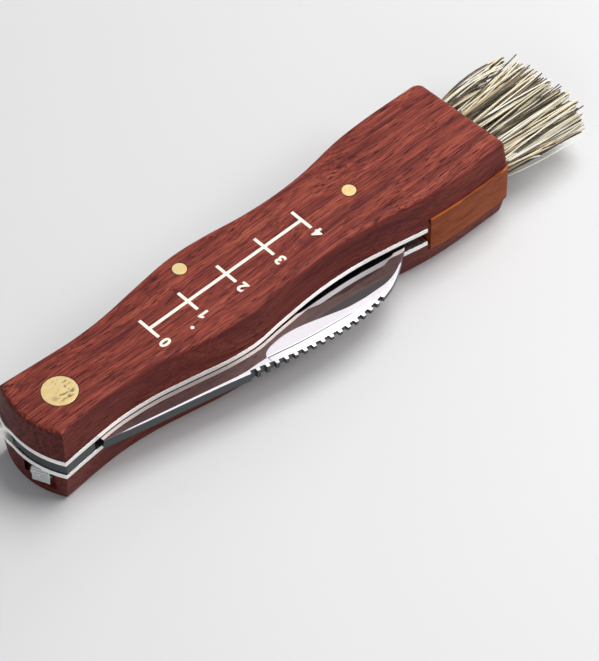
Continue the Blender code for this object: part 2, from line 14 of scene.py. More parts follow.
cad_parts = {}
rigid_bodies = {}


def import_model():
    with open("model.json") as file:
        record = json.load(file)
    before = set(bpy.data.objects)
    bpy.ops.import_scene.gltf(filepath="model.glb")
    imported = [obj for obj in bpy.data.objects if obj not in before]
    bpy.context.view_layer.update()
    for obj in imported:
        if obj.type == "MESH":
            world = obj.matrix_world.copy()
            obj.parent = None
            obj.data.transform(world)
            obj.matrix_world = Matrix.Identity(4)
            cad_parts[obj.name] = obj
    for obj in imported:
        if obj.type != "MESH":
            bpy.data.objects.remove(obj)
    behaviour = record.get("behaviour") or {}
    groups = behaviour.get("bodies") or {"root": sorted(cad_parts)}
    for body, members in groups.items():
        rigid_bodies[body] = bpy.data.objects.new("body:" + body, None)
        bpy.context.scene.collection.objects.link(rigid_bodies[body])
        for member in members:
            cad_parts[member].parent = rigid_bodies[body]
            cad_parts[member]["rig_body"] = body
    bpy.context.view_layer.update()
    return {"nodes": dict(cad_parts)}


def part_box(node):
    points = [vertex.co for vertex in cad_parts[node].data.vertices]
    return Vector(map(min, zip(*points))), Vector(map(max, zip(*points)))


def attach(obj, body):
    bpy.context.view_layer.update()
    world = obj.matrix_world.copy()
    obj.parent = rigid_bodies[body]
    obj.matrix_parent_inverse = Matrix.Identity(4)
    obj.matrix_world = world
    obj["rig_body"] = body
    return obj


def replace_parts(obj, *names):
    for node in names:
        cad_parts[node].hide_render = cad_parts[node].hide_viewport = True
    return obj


MM = 0.001

# Camera: it looks at TARGET_MM from this direction (degrees) and distance
TARGET_MM = (54.1, -8.3, 0.0)
CAMERA_DISTANCE_MM = 731.2
CAMERA_AZIMUTH = 42.82
CAMERA_ELEVATION = 50.57
CAMERA_ROLL = -0.61
CAMERA_LENS = 201.25
CAMERA_SENSOR = 36.0
CAMERA_CLIP_START_MM = 10.0

# Clean-up of the CAD nodes: vertices this close are one, and faces this flat are joined
SAME_PLACE = 1e-6
FLAT_ANGLE = 0.3

# Edge softening of the rigid pieces, and the angles at which their shading breaks; an upright
# edge has at least UPRIGHT of its direction along Z
WOOD_EDGE_MM = 0.22
METAL_EDGE_MM = 0.07
LINER_EDGE_MM = 0.22
BLADE_EDGE_MM = 0.04
WASHER_EDGE_MM = 0.02
EDGE_SEGMENTS = 3
SLIVER_MM = 0.004
SHARP_ANGLE = 32.0
BLADE_SHARP_ANGLE = 3.0
UPRIGHT = 0.7

# Scribed line along the swedge: its reach along X, half its width, its depth, the least part
# of its direction along X, and the tilt (degrees) of the faces beside it
SCRIBE_FROM_MM = 38.9
SCRIBE_TO_MM = 58.0
SCRIBE_HALF_MM = 0.18
SCRIBE_DEEP_MM = 0.1
SCRIBE_ALONG = 0.85
BEVEL_TILT = (4.0, 20.0)

# Brass: its turned rings, and the upper rosette's smudge, from its centre, with how it fades
RINGS_PER_MM = 5.5
SMUDGE_MM = (-1.9, -0.9, 0.0)
SMUDGE_FADE_MM = (0.2, 1.1)

# Printed scale on the upper face; a digit's height is PRINT_DIGIT_SHARE of its font's size,
# the 1 is its own outline, and the fleck is a place and a radius
PRINT_START_MM = 22.27
PRINT_STEP_MM = 10.0
PRINT_MARKS = 5
PRINT_LINE_Y_MM = -0.38
PRINT_WIDTH_MM = 0.68
PRINT_TICK_MM = 2.79
PRINT_DIGIT_Y_MM = -5.0
PRINT_DIGIT_MM = 2.35
PRINT_DIGIT_SHARE = 0.72
PRINT_BOLD_MM = 0.12
PRINT_ONE_MM = [(-0.1, -1.2), (0.45, -1.2), (0.45, 1.2), (0.05, 1.2), (-0.65, 0.75), (-0.65, 0.25),
                (-0.1, 0.5)]
PRINT_THICK_MM = 0.03
PRINT_FLECK_MM = (28.5, -5.85, 0.4)
FLECK_SIDES = 20
FLECK_TAPER = 0.9

# Thumb tab: outer corners of its face in plan, and the ridges across it
TAB_FROM_MM = (-9.95, -2.1)
TAB_TO_MM = (-8.35, -5.5)
TAB_INSET_MM = 0.25
TAB_RIDGES = 3
TAB_RIDGE_TOP_MM = 6.75
TAB_RIDGE_PITCH_MM = 0.8
TAB_RIDGE_HALF_MM = 0.24
TAB_RIDGE_DEEP_MM = 0.2
TAB_RIDGE_SUNK_MM = 0.1

# Bristles: strands start inside their hole and end in clumps, the middle tufts reach further,
# and the two rows lean together. A strand bends at the BENDS shares of its length, and its
# direction is measured NEARBY on either side.
TUFT_END_MM = 1.0
STRANDS_PER_TUFT = 44
STRAND_START_MM = 3.0
BENDS = (0.35, 0.7)
STRAND_ROOT_R_MM = 0.2
STRAND_TIP_R_MM = 0.14
STRAND_SIDES = 6
STRAND_RINGS = 9
STRAND_END_ANGLE = 70.0
NEARBY = 0.02
CLUMPS_PER_TUFT = 8
STRAYS_PER_TUFT = 6
TUFT_ROOT_R_MM = 1.1
TUFT_TIP_R_MM = 2.4
CLUMP_R_MM = 0.42
CLUMP_SHORT_MM = 0.6
STRAND_SHORT_MM = 0.3
MIDDLE_LONGER_MM = 2.0
ROWS_MIDDLE_MM = 10.1
ROWS_LEAN = 0.8
WAVER_Y_MM = 0.34
WAVER_Z_MM = 0.3

# Strays end out of line and short; at the slot side every fourth strand lies lower and shorter,
# and at the spine side the outermost strands bow outward, where a strand's own place in its tuft
# counts by WITHIN_TUFT beside the tuft's place in its row
STRAY_SPREAD_MM = 1.2
STRAY_SHORT_MM = (0.5, 4.0)
LOW_SHARE = -0.9
LOW_EVERY = 4
LOW_LENGTH = (0.5, 0.75)
LOW_DROP_MM = 1.2
WITHIN_TUFT = 0.35
BOW_MM = (1.2, 3.0)
BOW_SHORT_MM = 3.5

# Stage: half the floor's size (m), and area lights as name, place, size, watts, colour and aim
FLOOR_HALF = 3.0
FLOOR_DROP_MM = 0.05
WORLD_COLOUR = (0.9, 0.92, 0.95, 1)
WORLD_STRENGTH = 0.2
WARM_WHITE = (1.0, 0.99, 0.98)
LIGHTS = [
    ("key", (285, -10, 610), (380, 380), 3.1, WARM_WHITE, TARGET_MM),
    ("front", (350, -360, 500), (260, 260), 1.35, WARM_WHITE, TARGET_MM),
    ("blade", (395, 205, 587), (330, 112), 0.19, (1.0, 0.99, 1.0), (395, 130, 0)),
    ("low", (700, 105, 200), (260, 200), 1.6, WARM_WHITE, TARGET_MM),
    ("side", (-420, -260, 330), (420, 300), 0.75, (0.95, 0.97, 1.0), TARGET_MM),
]


def srgb(red, green, blue):
    """A linear colour with alpha from 8-bit sRGB values."""
    def linear(value):
        share = value / 255
        return share / 12.92 if share <= 0.04045 else ((share + 0.055) / 1.055) ** 2.4
    return (linear(red), linear(green), linear(blue), 1.0)


class Shade:
    """A material's node tree, with short ways to add and join nodes."""

    def __init__(self, name):
        self.material = bpy.data.materials.new(name)
        self.material.use_nodes = True
        self.tree = self.material.node_tree
        self.surface = self.tree.nodes["Principled BSDF"]
        self.place = self.node("ShaderNodeTexCoord").outputs["Object"]

    def node(self, kind, inputs=None, **settings):
        made = self.tree.nodes.new(kind)
        for key, value in settings.items():
            setattr(made, key, value)
        for key, value in (inputs or {}).items():
            self.feed(made.inputs[key], value)
        return made

    def feed(self, socket, value):
        if isinstance(value, bpy.types.NodeSocket):
            self.tree.links.new(value, socket)
        else:
            socket.default_value = value

    def set(self, **inputs):
        for key, value in inputs.items():
            self.feed(self.surface.inputs[key.replace("_", " ")], value)

    def noise(self, cycles, detail=3.0, rough=0.5, distortion=0.0, place=None):
        """Noise with its own number of cycles per millimetre along X, Y and Z."""
        scaled = self.node("ShaderNodeMapping", {"Vector": place or self.place,
                                                 "Scale": [c / MM for c in cycles]})
        made = self.node("ShaderNodeTexNoise", {"Vector": scaled.outputs[0], "Scale": 1.0,
                                                "Detail": detail, "Roughness": rough,
                                                "Distortion": distortion})
        return made.outputs["Fac"]

    def ramp(self, factor, stops):
        made = self.node("ShaderNodeValToRGB", {"Fac": factor})
        elements = made.color_ramp.elements
        while len(elements) < len(stops):
            elements.new(0.5)
        for element, (position, colour) in zip(elements, stops):
            element.position = position
            element.color = colour
        return made.outputs["Color"]

    def band(self, factor, low, high, to_low=0.0, to_high=1.0):
        """The factor, stretched so that low gives to_low and high gives to_high."""
        made = self.node("ShaderNodeMapRange", {"Value": factor, "From Min": low,
                                                "From Max": high, "To Min": to_low,
                                                "To Max": to_high},
                         interpolation_type="SMOOTHSTEP")
        return made.outputs["Result"]

    def mix(self, factor, first, second):
        """A colour between the two; the mix node's colours are its sockets 6, 7 and out 2."""
        made = self.node("ShaderNodeMix", data_type="RGBA")
        self.feed(made.inputs["Factor"], factor)
        self.feed(made.inputs[6], first)
        self.feed(made.inputs[7], second)
        return made.outputs[2]

    def math(self, operation, first, second=0.0):
        return self.node("ShaderNodeMath", {0: first, 1: second}, operation=operation).outputs[0]

    def attribute(self, name):
        return self.node("ShaderNodeAttribute", attribute_name=name).outputs["Fac"]

    def facing(self, axis):
        """How far the surface faces along an axis of the piece, either way: 0 to 1."""
        normal = self.node("ShaderNodeNewGeometry").outputs["Normal"]
        turned = self.node("ShaderNodeVectorTransform", {"Vector": normal}, convert_to="OBJECT",
                           vector_type="NORMAL", convert_from="WORLD").outputs[0]
        part = self.node("ShaderNodeSeparateXYZ", {0: turned}).outputs[axis]
        return self.math("ABSOLUTE", part)

    def bump(self, height, deep_mm, strength):
        inputs = {"Height": height, "Distance": deep_mm * MM, "Strength": strength}
        return self.node("ShaderNodeBump", inputs).outputs["Normal"]


def wood_material(name, dark, middle, light, pore, contrast=1.0):
    """Straight-grained oiled hardwood: broad figure, fine streaks and small pores along X.

    The sides are painted darker than the faces, as painted shade, and the end grain is blotchy.
    """
    shade = Shade(name)
    sway = shade.noise((0.02, 0.05, 0.05), detail=2.0)
    sway = shade.band(sway, 0.2, 0.8, -1.6 * MM, 1.6 * MM)
    shift = shade.node("ShaderNodeCombineXYZ", {"X": 0.0, "Y": sway, "Z": sway}).outputs[0]
    place = shade.node("ShaderNodeVectorMath", {0: shade.place, 1: shift},
                       operation="ADD").outputs[0]
    figure = shade.noise((0.018, 0.4, 0.4), detail=3.0, rough=0.6, distortion=0.3, place=place)
    colour = shade.ramp(figure, [(0.3, dark), (0.5, middle), (0.72, light)])
    streak = shade.noise((0.08, 3.0, 3.0), detail=4.0, rough=0.7, place=place)
    shadow = shade.band(streak, 0.36, 0.56, 0.75 * contrast, 0.0)
    colour = shade.mix(shadow, colour, dark)
    glow = shade.band(streak, 0.52, 0.72, 0.0, 0.6 * contrast)
    colour = shade.mix(glow, colour, light)
    fibre = shade.noise((0.35, 7.0, 7.0), detail=3.0, rough=0.7, place=place)
    colour = shade.mix(shade.band(fibre, 0.35, 0.65, 0.45 * contrast, 0.0), colour, dark)
    pores = shade.noise((0.25, 4.5, 4.5), detail=2.0, rough=0.5, place=place)
    pores = shade.band(pores, 0.57, 0.63)
    colour = shade.mix(shade.math("MULTIPLY", pores, 0.85), colour, pore)
    # painted shade: the upright sides are mixed towards the dark tone
    colour = shade.mix(shade.band(shade.facing("Z"), 0.35, 0.85, 0.6, 0.0), colour, dark)
    blotch = shade.noise((1.3, 1.3, 1.3), detail=3.0, rough=0.7)
    blotch = shade.math("MULTIPLY", shade.band(blotch, 0.42, 0.58),
                        shade.band(shade.facing("X"), 0.4, 0.8, 0.0, 0.65))
    colour = shade.mix(blotch, colour, pore)
    roughness = shade.band(fibre, 0.3, 0.7, 0.5, 0.64)
    roughness = shade.math("ADD", roughness, shade.math("MULTIPLY", pores, 0.15))
    height = shade.math("SUBTRACT", shade.math("MULTIPLY", fibre, 0.35), pores)
    shade.set(Base_Color=colour, Roughness=roughness, Specular_IOR_Level=0.2,
              Normal=shade.bump(height, 0.035, 0.8))
    return shade.material


def spring_material():
    """Satin steel with fine grinding lines and faint smudges."""
    shade = Shade("spring_steel")
    tone = srgb(232, 233, 233)
    dimmed = [c * 0.93 for c in tone[:3]] + [1.0]
    lines = shade.noise((7.0, 0.5, 7.0), detail=2.0)
    smudge = shade.noise((0.12, 0.12, 0.12), detail=2.0)
    rough = shade.band(lines, 0.3, 0.7, 0.225, 0.39)
    rough = shade.math("ADD", rough, shade.band(smudge, 0.4, 0.8, 0.0, 0.05))
    colour = shade.mix(shade.band(smudge, 0.3, 0.8), tone, dimmed)
    shade.set(Base_Color=colour, Metallic=1.0, Roughness=rough,
              Normal=shade.bump(lines, 0.004, 0.5))
    return shade.material


def liner_material():
    """Steel with bright satin edges, ground in short strokes, and polished flat faces."""
    shade = Shade("liner_steel")
    flat = shade.band(shade.facing("Z"), 0.5, 0.9)
    lines = shade.noise((7.0, 7.0, 1.2), detail=2.0)
    smudge = shade.noise((0.12, 0.12, 0.12), detail=2.0)
    rough = shade.band(lines, 0.3, 0.7, 0.34, 0.46)
    rough = shade.math("SUBTRACT", rough, shade.math("MULTIPLY", flat, 0.15))
    tone = shade.mix(shade.band(smudge, 0.3, 0.8), srgb(255, 254, 250), srgb(246, 245, 242))
    metal = shade.band(flat, 0.0, 1.0, 0.3, 1.0)
    shade.set(Base_Color=tone, Metallic=metal, Roughness=rough,
              Normal=shade.bump(lines, 0.004, 0.5))
    return shade.material


def blade_material():
    """Mirror-polished faces with faint lines across the blade, and rougher narrow edges painted
    dark grey as painted shade.

    The level flats carry a warm painted reflection of the wood, so they are a little warmer than
    the bevels, and the scribed line is painted dark as painted shade in its groove.
    """
    shade = Shade("blade_steel")
    # painted shade: the third colour is the dark grey painted on the narrow upright faces
    bright, warm, shaded_edge_grey = srgb(186, 182, 186), srgb(182, 170, 169), srgb(78, 82, 84)
    upright = shade.facing("Z")
    flat = shade.band(upright, 0.5, 0.8)
    # painted reflection: the level flats take the warm tint of the reflected wood
    polished_and_warm_reflection = shade.mix(shade.band(upright, 0.9975, 0.9995), bright, warm)
    lines = shade.noise((9.0, 0.12, 3.0), detail=2.0)
    smudge = shade.noise((0.15, 0.2, 0.2), detail=2.0)
    rough = shade.band(lines, 0.3, 0.7, 0.045, 0.08)
    rough = shade.math("ADD", rough, shade.band(smudge, 0.45, 0.8, 0.0, 0.04))
    rough = shade.math("ADD", rough, shade.band(flat, 0.0, 1.0, 0.25, 0.0))
    # painted shade: the scribed groove is mixed towards dark grey
    colour = shade.mix(shade.band(shade.attribute("scribed"), 0.0, 0.5),
                       shade.mix(flat, shaded_edge_grey, polished_and_warm_reflection), srgb(58, 58, 66))
    shade.set(Base_Color=colour, Metallic=1.0, Roughness=rough,
              Normal=shade.bump(lines, 0.001, 0.2))
    return shade.material


def brass_material(name, centre_mm, tarnished):
    """Pale turned brass: faint rings about its centre and, where asked, spots of tarnish."""
    shade = Shade(name)
    bright, warm, tarnish = srgb(236, 214, 160), srgb(222, 192, 128), srgb(92, 78, 50)
    cloud = shade.noise((0.35, 0.35, 0.35), detail=3.0)
    colour = shade.mix(shade.band(cloud, 0.35, 0.7), bright, warm)
    centre = shade.node("ShaderNodeVectorMath", {0: shade.place,
                                                 1: (centre_mm[0] * MM, centre_mm[1] * MM, 0)},
                        operation="SUBTRACT").outputs[0]
    parts = shade.node("ShaderNodeSeparateXYZ", {0: centre})
    flat = shade.node("ShaderNodeCombineXYZ", {"X": parts.outputs["X"], "Y": parts.outputs["Y"]})
    radius = shade.node("ShaderNodeVectorMath", {0: flat.outputs[0]},
                        operation="LENGTH").outputs["Value"]
    rough = shade.band(cloud, 0.3, 0.7, 0.36, 0.46)
    if tarnished:
        spots = shade.noise((0.5, 1.5, 1.5), detail=3.0, rough=0.6, distortion=0.5)
        spots = shade.band(spots, 0.5, 0.57)
        lean = shade.math("SUBTRACT", parts.outputs["X"], parts.outputs["Y"])
        spots = shade.math("MULTIPLY", spots, shade.band(lean, -3.2 * MM, 0.2 * MM))
        spots = shade.math("MULTIPLY", spots, shade.band(radius, 2.5 * MM, 3.1 * MM, 1.0, 0.0))
        smudge = shade.node("ShaderNodeVectorMath",
                            {0: flat.outputs[0], 1: [c * MM for c in SMUDGE_MM]},
                            operation="DISTANCE").outputs["Value"]
        near, far = SMUDGE_FADE_MM
        smudge = shade.band(smudge, near * MM, far * MM, 0.6, 0.0)
        spots = shade.math("MAXIMUM", spots, smudge)
        colour = shade.mix(shade.math("MULTIPLY", spots, 0.75), colour, tarnish)
        rough = shade.math("ADD", rough, shade.math("MULTIPLY", spots, 0.2))
    rings = shade.math("SINE", shade.math("MULTIPLY", radius, 2 * math.pi * RINGS_PER_MM / MM))
    shade.set(Base_Color=colour, Metallic=0.85, Roughness=rough,
              Normal=shade.bump(rings, 0.0015, 0.6))
    return shade.material


def print_material():
    """Off-white screen print, a little worn so that the wood's pores show through."""
    shade = Shade("scale_print")
    wear = shade.noise((0.9, 3.5, 3.5), detail=3.0, rough=0.6)
    colour = shade.mix(shade.band(wear, 0.62, 0.72, 0.0, 0.6), srgb(246, 240, 226),
                       srgb(176, 120, 100))
    shade.set(Base_Color=colour, Roughness=0.5, Normal=shade.bump(wear, 0.01, 0.5))
    return shade.material


def bristle_material():
    """Natural bristle: each strand has its own tone, darker at the root with painted shade, pale
    at the tip.
    """
    shade = Shade("bristle_hair")
    # partly painted shade: besides the real dark hairs, the darkest tones stand in for the shaded
    # gaps between strands
    hair_tones_and_gap_shade = [(0.0, srgb(36, 30, 22)), (0.3, srgb(60, 50, 36)), (0.4, srgb(176, 150, 106)),
             (0.52, srgb(240, 230, 200)), (1.0, srgb(255, 252, 240))]
    colour = shade.ramp(shade.attribute("strand_tone"), hair_tones_and_gap_shade)
    # painted shade: strands darken towards the root, where the tuft is shaded
    root = shade.band(shade.attribute("strand_along"), 0.1, 0.5, 0.45, 0.0)
    colour = shade.mix(root, colour, srgb(128, 104, 72))
    streak = shade.noise((0.4, 6.0, 6.0), detail=2.0)
    colour = shade.mix(shade.band(streak, 0.45, 0.75, 0.0, 0.3), colour, srgb(176, 156, 118))
    shade.set(Base_Color=colour, Roughness=0.42, Subsurface_Weight=0.12,
              Subsurface_Radius=(0.6 * MM, 0.5 * MM, 0.35 * MM),
              Normal=shade.bump(streak, 0.02, 0.4))
    return shade.material


def floor_material():
    shade = Shade("pale_floor")
    mottle = shade.noise((0.004, 0.004, 0.004), detail=2.0)
    colour = shade.mix(shade.band(mottle, 0.3, 0.7), srgb(212, 212, 213), srgb(218, 218, 219))
    shade.set(Base_Color=colour, Roughness=0.7)
    return shade.material


def add_piece(name, mesh, body, material):
    """A finished mesh as a piece of the object, riding on its body."""
    mesh.materials.clear()
    mesh.materials.append(material)
    piece = bpy.data.objects.new(name, mesh)
    bpy.context.scene.collection.objects.link(piece)
    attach(piece, body)
    return piece


def mesh_of(bm, name):
    """The bmesh as a new mesh; the bmesh is freed."""
    mesh = bpy.data.meshes.new(name)
    bm.to_mesh(mesh)
    bm.free()
    return mesh


def direction(edge):
    start, end = (vert.co for vert in edge.verts)
    return (end - start).normalized()


def mark_creases(bm, crease):
    """Smooth shading everywhere but at the edges that fold by more than crease degrees.

    Upright edges and those inside a bevel only count from SHARP_ANGLE.
    """
    for face in bm.faces:
        face.smooth = True
    for edge in bm.edges:
        mild = abs(direction(edge).z) > UPRIGHT or within_bevel(edge)
        limit = math.radians(SHARP_ANGLE if mild else crease)
        edge.smooth = not edge.is_manifold or edge.calc_face_angle() < limit


def soften(piece, edge_mm):
    """Rounded edges, without slivers where they crowd, and even shading."""
    bevel = piece.modifiers.new("soft_edges", "BEVEL")
    bevel.width = edge_mm * MM
    bevel.segments = EDGE_SEGMENTS
    bevel.limit_method = "ANGLE"
    bevel.angle_limit = math.radians(SHARP_ANGLE)
    weld = piece.modifiers.new("joined_slivers", "WELD")
    weld.merge_threshold = SLIVER_MM * MM
    even = piece.modifiers.new("even_shading", "WEIGHTED_NORMAL")
    even.keep_sharp = True
    even.weight = 100


def refine(node_name, material, edge_mm, crease=SHARP_ANGLE, rework=None):
    """A welded copy of a CAD node with softened edges and even shading, which stands for it."""
    node = frame["nodes"][node_name]
    bm = bmesh.new()
    bm.from_mesh(node.data)
    bmesh.ops.remove_doubles(bm, verts=bm.verts, dist=SAME_PLACE)
    bmesh.ops.dissolve_limit(bm, angle_limit=math.radians(FLAT_ANGLE), verts=bm.verts,
                             edges=bm.edges)
    if rework is not None:
        rework(bm)
    bm.normal_update()
    mark_creases(bm, crease)
    name = node_name + "_fine"
    piece = add_piece(name, mesh_of(bm, name), node["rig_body"], material)
    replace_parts(piece, node_name)
    soften(piece, edge_mm)


def within_bevel(edge):
    """Whether both faces beside an edge lie in a shallow bevel of the blade's flat side."""
    tilts = [math.degrees(math.acos(min(abs(f.normal.z), 1.0))) for f in edge.link_faces]
    return edge.is_manifold and BEVEL_TILT[0] < min(tilts) and max(tilts) < BEVEL_TILT[1]


def scribe_line(bm):
    """A fine groove along the fold in the swedge, on both sides of the blade."""
    scribed = bm.verts.layers.float.new("scribed")
    chosen = []
    for edge in bm.edges:
        middle = (edge.verts[0].co + edge.verts[1].co) / 2
        in_reach = SCRIBE_FROM_MM * MM < middle.x < SCRIBE_TO_MM * MM
        if in_reach and abs(direction(edge).x) > SCRIBE_ALONG and within_bevel(edge):
            chosen.append(edge)
    made = bmesh.ops.bevel(bm, geom=chosen, offset=SCRIBE_HALF_MM * MM, segments=2, profile=0.5,
                           affect="EDGES")
    bm.normal_update()
    new_verts = set(made["verts"])
    for vert in new_verts:
        around = [edge.other_vert(vert) for edge in vert.link_edges]
        if len(around) == 4 and all(other in new_verts for other in around):
            vert.co -= vert.normal * SCRIBE_DEEP_MM * MM
            # the groove's middle is marked here for its painted shade
            vert[scribed] = 1.0


def refine_handle():
    red = wood_material("red_wood", srgb(82, 26, 24), srgb(146, 62, 49), srgb(186, 96, 72),
                        srgb(48, 14, 14))
    pale = wood_material("pale_wood", srgb(122, 50, 16), srgb(176, 88, 32),
                         srgb(206, 122, 56), srgb(90, 38, 16), contrast=0.8)
    for name in ("upper_scale", "lower_scale"):
        refine(name, red, WOOD_EDGE_MM)
    refine("brush_block", pale, WOOD_EDGE_MM)


def refine_metal():
    spring = spring_material()
    liner = liner_material()
    for name in ("upper_liner", "lower_liner"):
        refine(name, liner, LINER_EDGE_MM)
    for name in ("back_spacer", "pivot_barrel", "stop_pin", "leaf_shim", "leaf_rivet_1",
                 "leaf_rivet_2", "lock_leaf"):
        refine(name, spring, METAL_EDGE_MM)
    refine("blade", blade_material(), BLADE_EDGE_MM, BLADE_SHARP_ANGLE,
           scribe_line)
    tab_ridges(spring)


def refine_brass():
    for name in ("upper_rosette", "lower_rosette", "front_handle_pin", "rear_handle_pin",
                 "upper_washer", "lower_washer"):
        low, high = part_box(name)
        centre = (low + high) / 2 / MM
        material = brass_material(name + "_brass", centre, name == "upper_rosette")
        edge_mm = WASHER_EDGE_MM if name.endswith("washer") else METAL_EDGE_MM
        refine(name, material, edge_mm)


def tab_ridges(material):
    """Small ridges across the thumb tab's face, for grip."""
    start, end = Vector((*TAB_FROM_MM, 0)), Vector((*TAB_TO_MM, 0))
    along = (end - start).normalized()
    out = Vector((along.y, -along.x, 0))
    sunk, proud = -out * TAB_RIDGE_SUNK_MM, out * TAB_RIDGE_DEEP_MM
    half = Vector((0, 0, TAB_RIDGE_HALF_MM))
    bm = bmesh.new()
    for k in range(TAB_RIDGES):
        middle = Vector((0, 0, TAB_RIDGE_TOP_MM - k * TAB_RIDGE_PITCH_MM))
        profile = [middle - half + sunk, middle - half + proud, middle + half + proud,
                   middle + half + sunk]
        rings = []
        for foot in (start + along * TAB_INSET_MM, end - along * TAB_INSET_MM):
            rings.append([bm.verts.new((foot + p) * MM) for p in profile])
        for j in range(len(profile)):
            nxt = (j + 1) % len(profile)
            bm.faces.new((rings[0][j], rings[0][nxt], rings[1][nxt], rings[1][j]))
        bm.faces.new(rings[0])
        bm.faces.new(rings[1])
    bmesh.ops.recalc_face_normals(bm, faces=bm.faces)
    add_piece("tab_ridges", mesh_of(bm, "tab_ridges"), "lock_leaf", material)


def mesh_from_curve(curve, name):
    """The curve's filled mesh, with its seams welded; the curve is removed."""
    holder = bpy.data.objects.new(name, curve)
    bpy.context.scene.collection.objects.link(holder)
    evaluated = holder.evaluated_get(bpy.context.evaluated_depsgraph_get())
    mesh = bpy.data.meshes.new_from_object(evaluated)
    bpy.data.objects.remove(holder)
    bpy.data.curves.remove(curve)
    bm = bmesh.new()
    bm.from_mesh(mesh)
    bmesh.ops.remove_doubles(bm, verts=bm.verts, dist=SAME_PLACE)
    bm.to_mesh(mesh)
    bm.free()
    return mesh


def ladder_outline():
    """Outline of the printed line with its cross marks, as one closed loop (mm)."""
    half = PRINT_WIDTH_MM / 2
    marks = [PRINT_START_MM + PRINT_STEP_MM * k for k in range(PRINT_MARKS)]
    upper = []
    for k, x in enumerate(marks):
        corners = [(x - half, half), (x - half, PRINT_TICK_MM), (x + half, PRINT_TICK_MM),
                   (x + half, half)]
        if k == 0:
            corners = corners[1:]
        if k == PRINT_MARKS - 1:
            corners = corners[:-1]
        upper += corners
    lower = [(x, -y) for x, y in reversed(upper)]
    return [(x, y + PRINT_LINE_Y_MM) for x, y in upper + lower]


def outline_curve(name, outline):
    curve = bpy.data.curves.new(name, "CURVE")
    curve.dimensions = "2D"
    curve.fill_mode = "BOTH"
    spline = curve.splines.new("POLY")
    spline.points.add(len(outline) - 1)
    for point, (x, y) in zip(spline.points, outline):
        point.co = (x * MM, y * MM, 0.0, 1.0)
    spline.use_cyclic_u = True
    return curve


def digit_mesh(text):
    """A plain bold digit, centred on the origin, standing upright along its own Y."""
    if text == "1":
        curve = outline_curve("digit_1", PRINT_ONE_MM)
    else:
        curve = bpy.data.curves.new("digit_" + text, "FONT")
        curve.body = text
        curve.size = PRINT_DIGIT_MM / PRINT_DIGIT_SHARE * MM
        curve.offset = PRINT_BOLD_MM * MM
    curve.extrude = PRINT_THICK_MM / 2 * MM
    curve.fill_mode = "BOTH"
    mesh = mesh_from_curve(curve, "digit_" + text)
    low = Vector([min(v.co[i] for v in mesh.vertices) for i in range(3)])
    high = Vector([max(v.co[i] for v in mesh.vertices) for i in range(3)])
    mesh.transform(Matrix.Translation(-(low + high) / 2))
    return mesh


def make_print():
    """The printed scale: a line with five cross marks, the digits beside them and one fleck."""
    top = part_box("upper_scale")[1].z + PRINT_THICK_MM / 2 * MM
    material = print_material()
    ladder = outline_curve("scale_line", ladder_outline())
    ladder.extrude = PRINT_THICK_MM / 2 * MM
    mesh = mesh_from_curve(ladder, "scale_line")
    mesh.transform(Matrix.Translation((0, 0, top)))
    add_piece("scale_line", mesh, "handle", material)
    for k in range(PRINT_MARKS):
        mesh = digit_mesh(str(k))
        place = Vector((PRINT_START_MM + PRINT_STEP_MM * k, PRINT_DIGIT_Y_MM, 0)) * MM
        place.z = top
        mesh.transform(Matrix.Translation(place) @ Matrix.Rotation(math.radians(90), 4, "Z"))
        add_piece(f"scale_digit_{k}", mesh, "handle", material)
    x, y, radius = PRINT_FLECK_MM
    bm = bmesh.new()
    bmesh.ops.create_cone(bm, cap_ends=True, segments=FLECK_SIDES, radius1=radius * MM,
                          radius2=radius * FLECK_TAPER * MM, depth=PRINT_THICK_MM * MM)
    bmesh.ops.translate(bm, verts=bm.verts, vec=(x * MM, y * MM, top))
    add_piece("scale_fleck", mesh_of(bm, "scale_fleck"), "handle", material)


def tuft_axis(node_name):
    """Centres of a CAD tuft's two ends, inner end first."""
    points = [v.co for v in frame["nodes"][node_name].data.vertices]
    low, high = min(p.x for p in points), max(p.x for p in points)
    inner = [p for p in points if p.x < low + TUFT_END_MM * MM]
    outer = [p for p in points if p.x > high - TUFT_END_MM * MM]
    return sum(inner, Vector()) / len(inner), sum(outer, Vector()) / len(outer)


def bezier(points, t):
    """The point at t, from 0 to 1, on the cubic curve that four points control."""
    a, b, c, d = points
    s = 1 - t
    return s ** 3 * a + 3 * s ** 2 * t * b + 3 * s * t ** 2 * c + t ** 3 * d


def disc_point(rng):
    """A random point in a unit disc."""
    radius, angle = math.sqrt(rng.random()), rng.uniform(0, 2 * math.pi)
    return radius * math.cos(angle), radius * math.sin(angle)


def add_strand(bm, path, tone, layers):
    """One bristle as a tapering tube along a cubic curve."""
    tone_layer, along_layer = layers
    rings = []
    for k in range(STRAND_RINGS):
        t = k / (STRAND_RINGS - 1)
        centre = bezier(path, t)
        ahead = bezier(path, min(t + NEARBY, 1.0)) - bezier(path, max(t - NEARBY, 0.0))
        side = ahead.cross(Vector((0, 0, 1))).normalized()
        rise = side.cross(ahead).normalized()
        radius = (STRAND_ROOT_R_MM + (STRAND_TIP_R_MM - STRAND_ROOT_R_MM) * t) * MM
        ring = []
        for j in range(STRAND_SIDES):
            angle = 2 * math.pi * j / STRAND_SIDES
            offset = side * math.cos(angle) + rise * math.sin(angle)
            vert = bm.verts.new(centre + offset * radius)
            vert[tone_layer] = tone
            vert[along_layer] = t
            ring.append(vert)
        rings.append(ring)
    for near, far in zip(rings, rings[1:]):
        for j in range(STRAND_SIDES):
            nxt = (j + 1) % STRAND_SIDES
            bm.faces.new((near[j], near[nxt], far[nxt], far[j]))
    bm.faces.new(list(reversed(rings[0])))
    bm.faces.new(rings[-1])


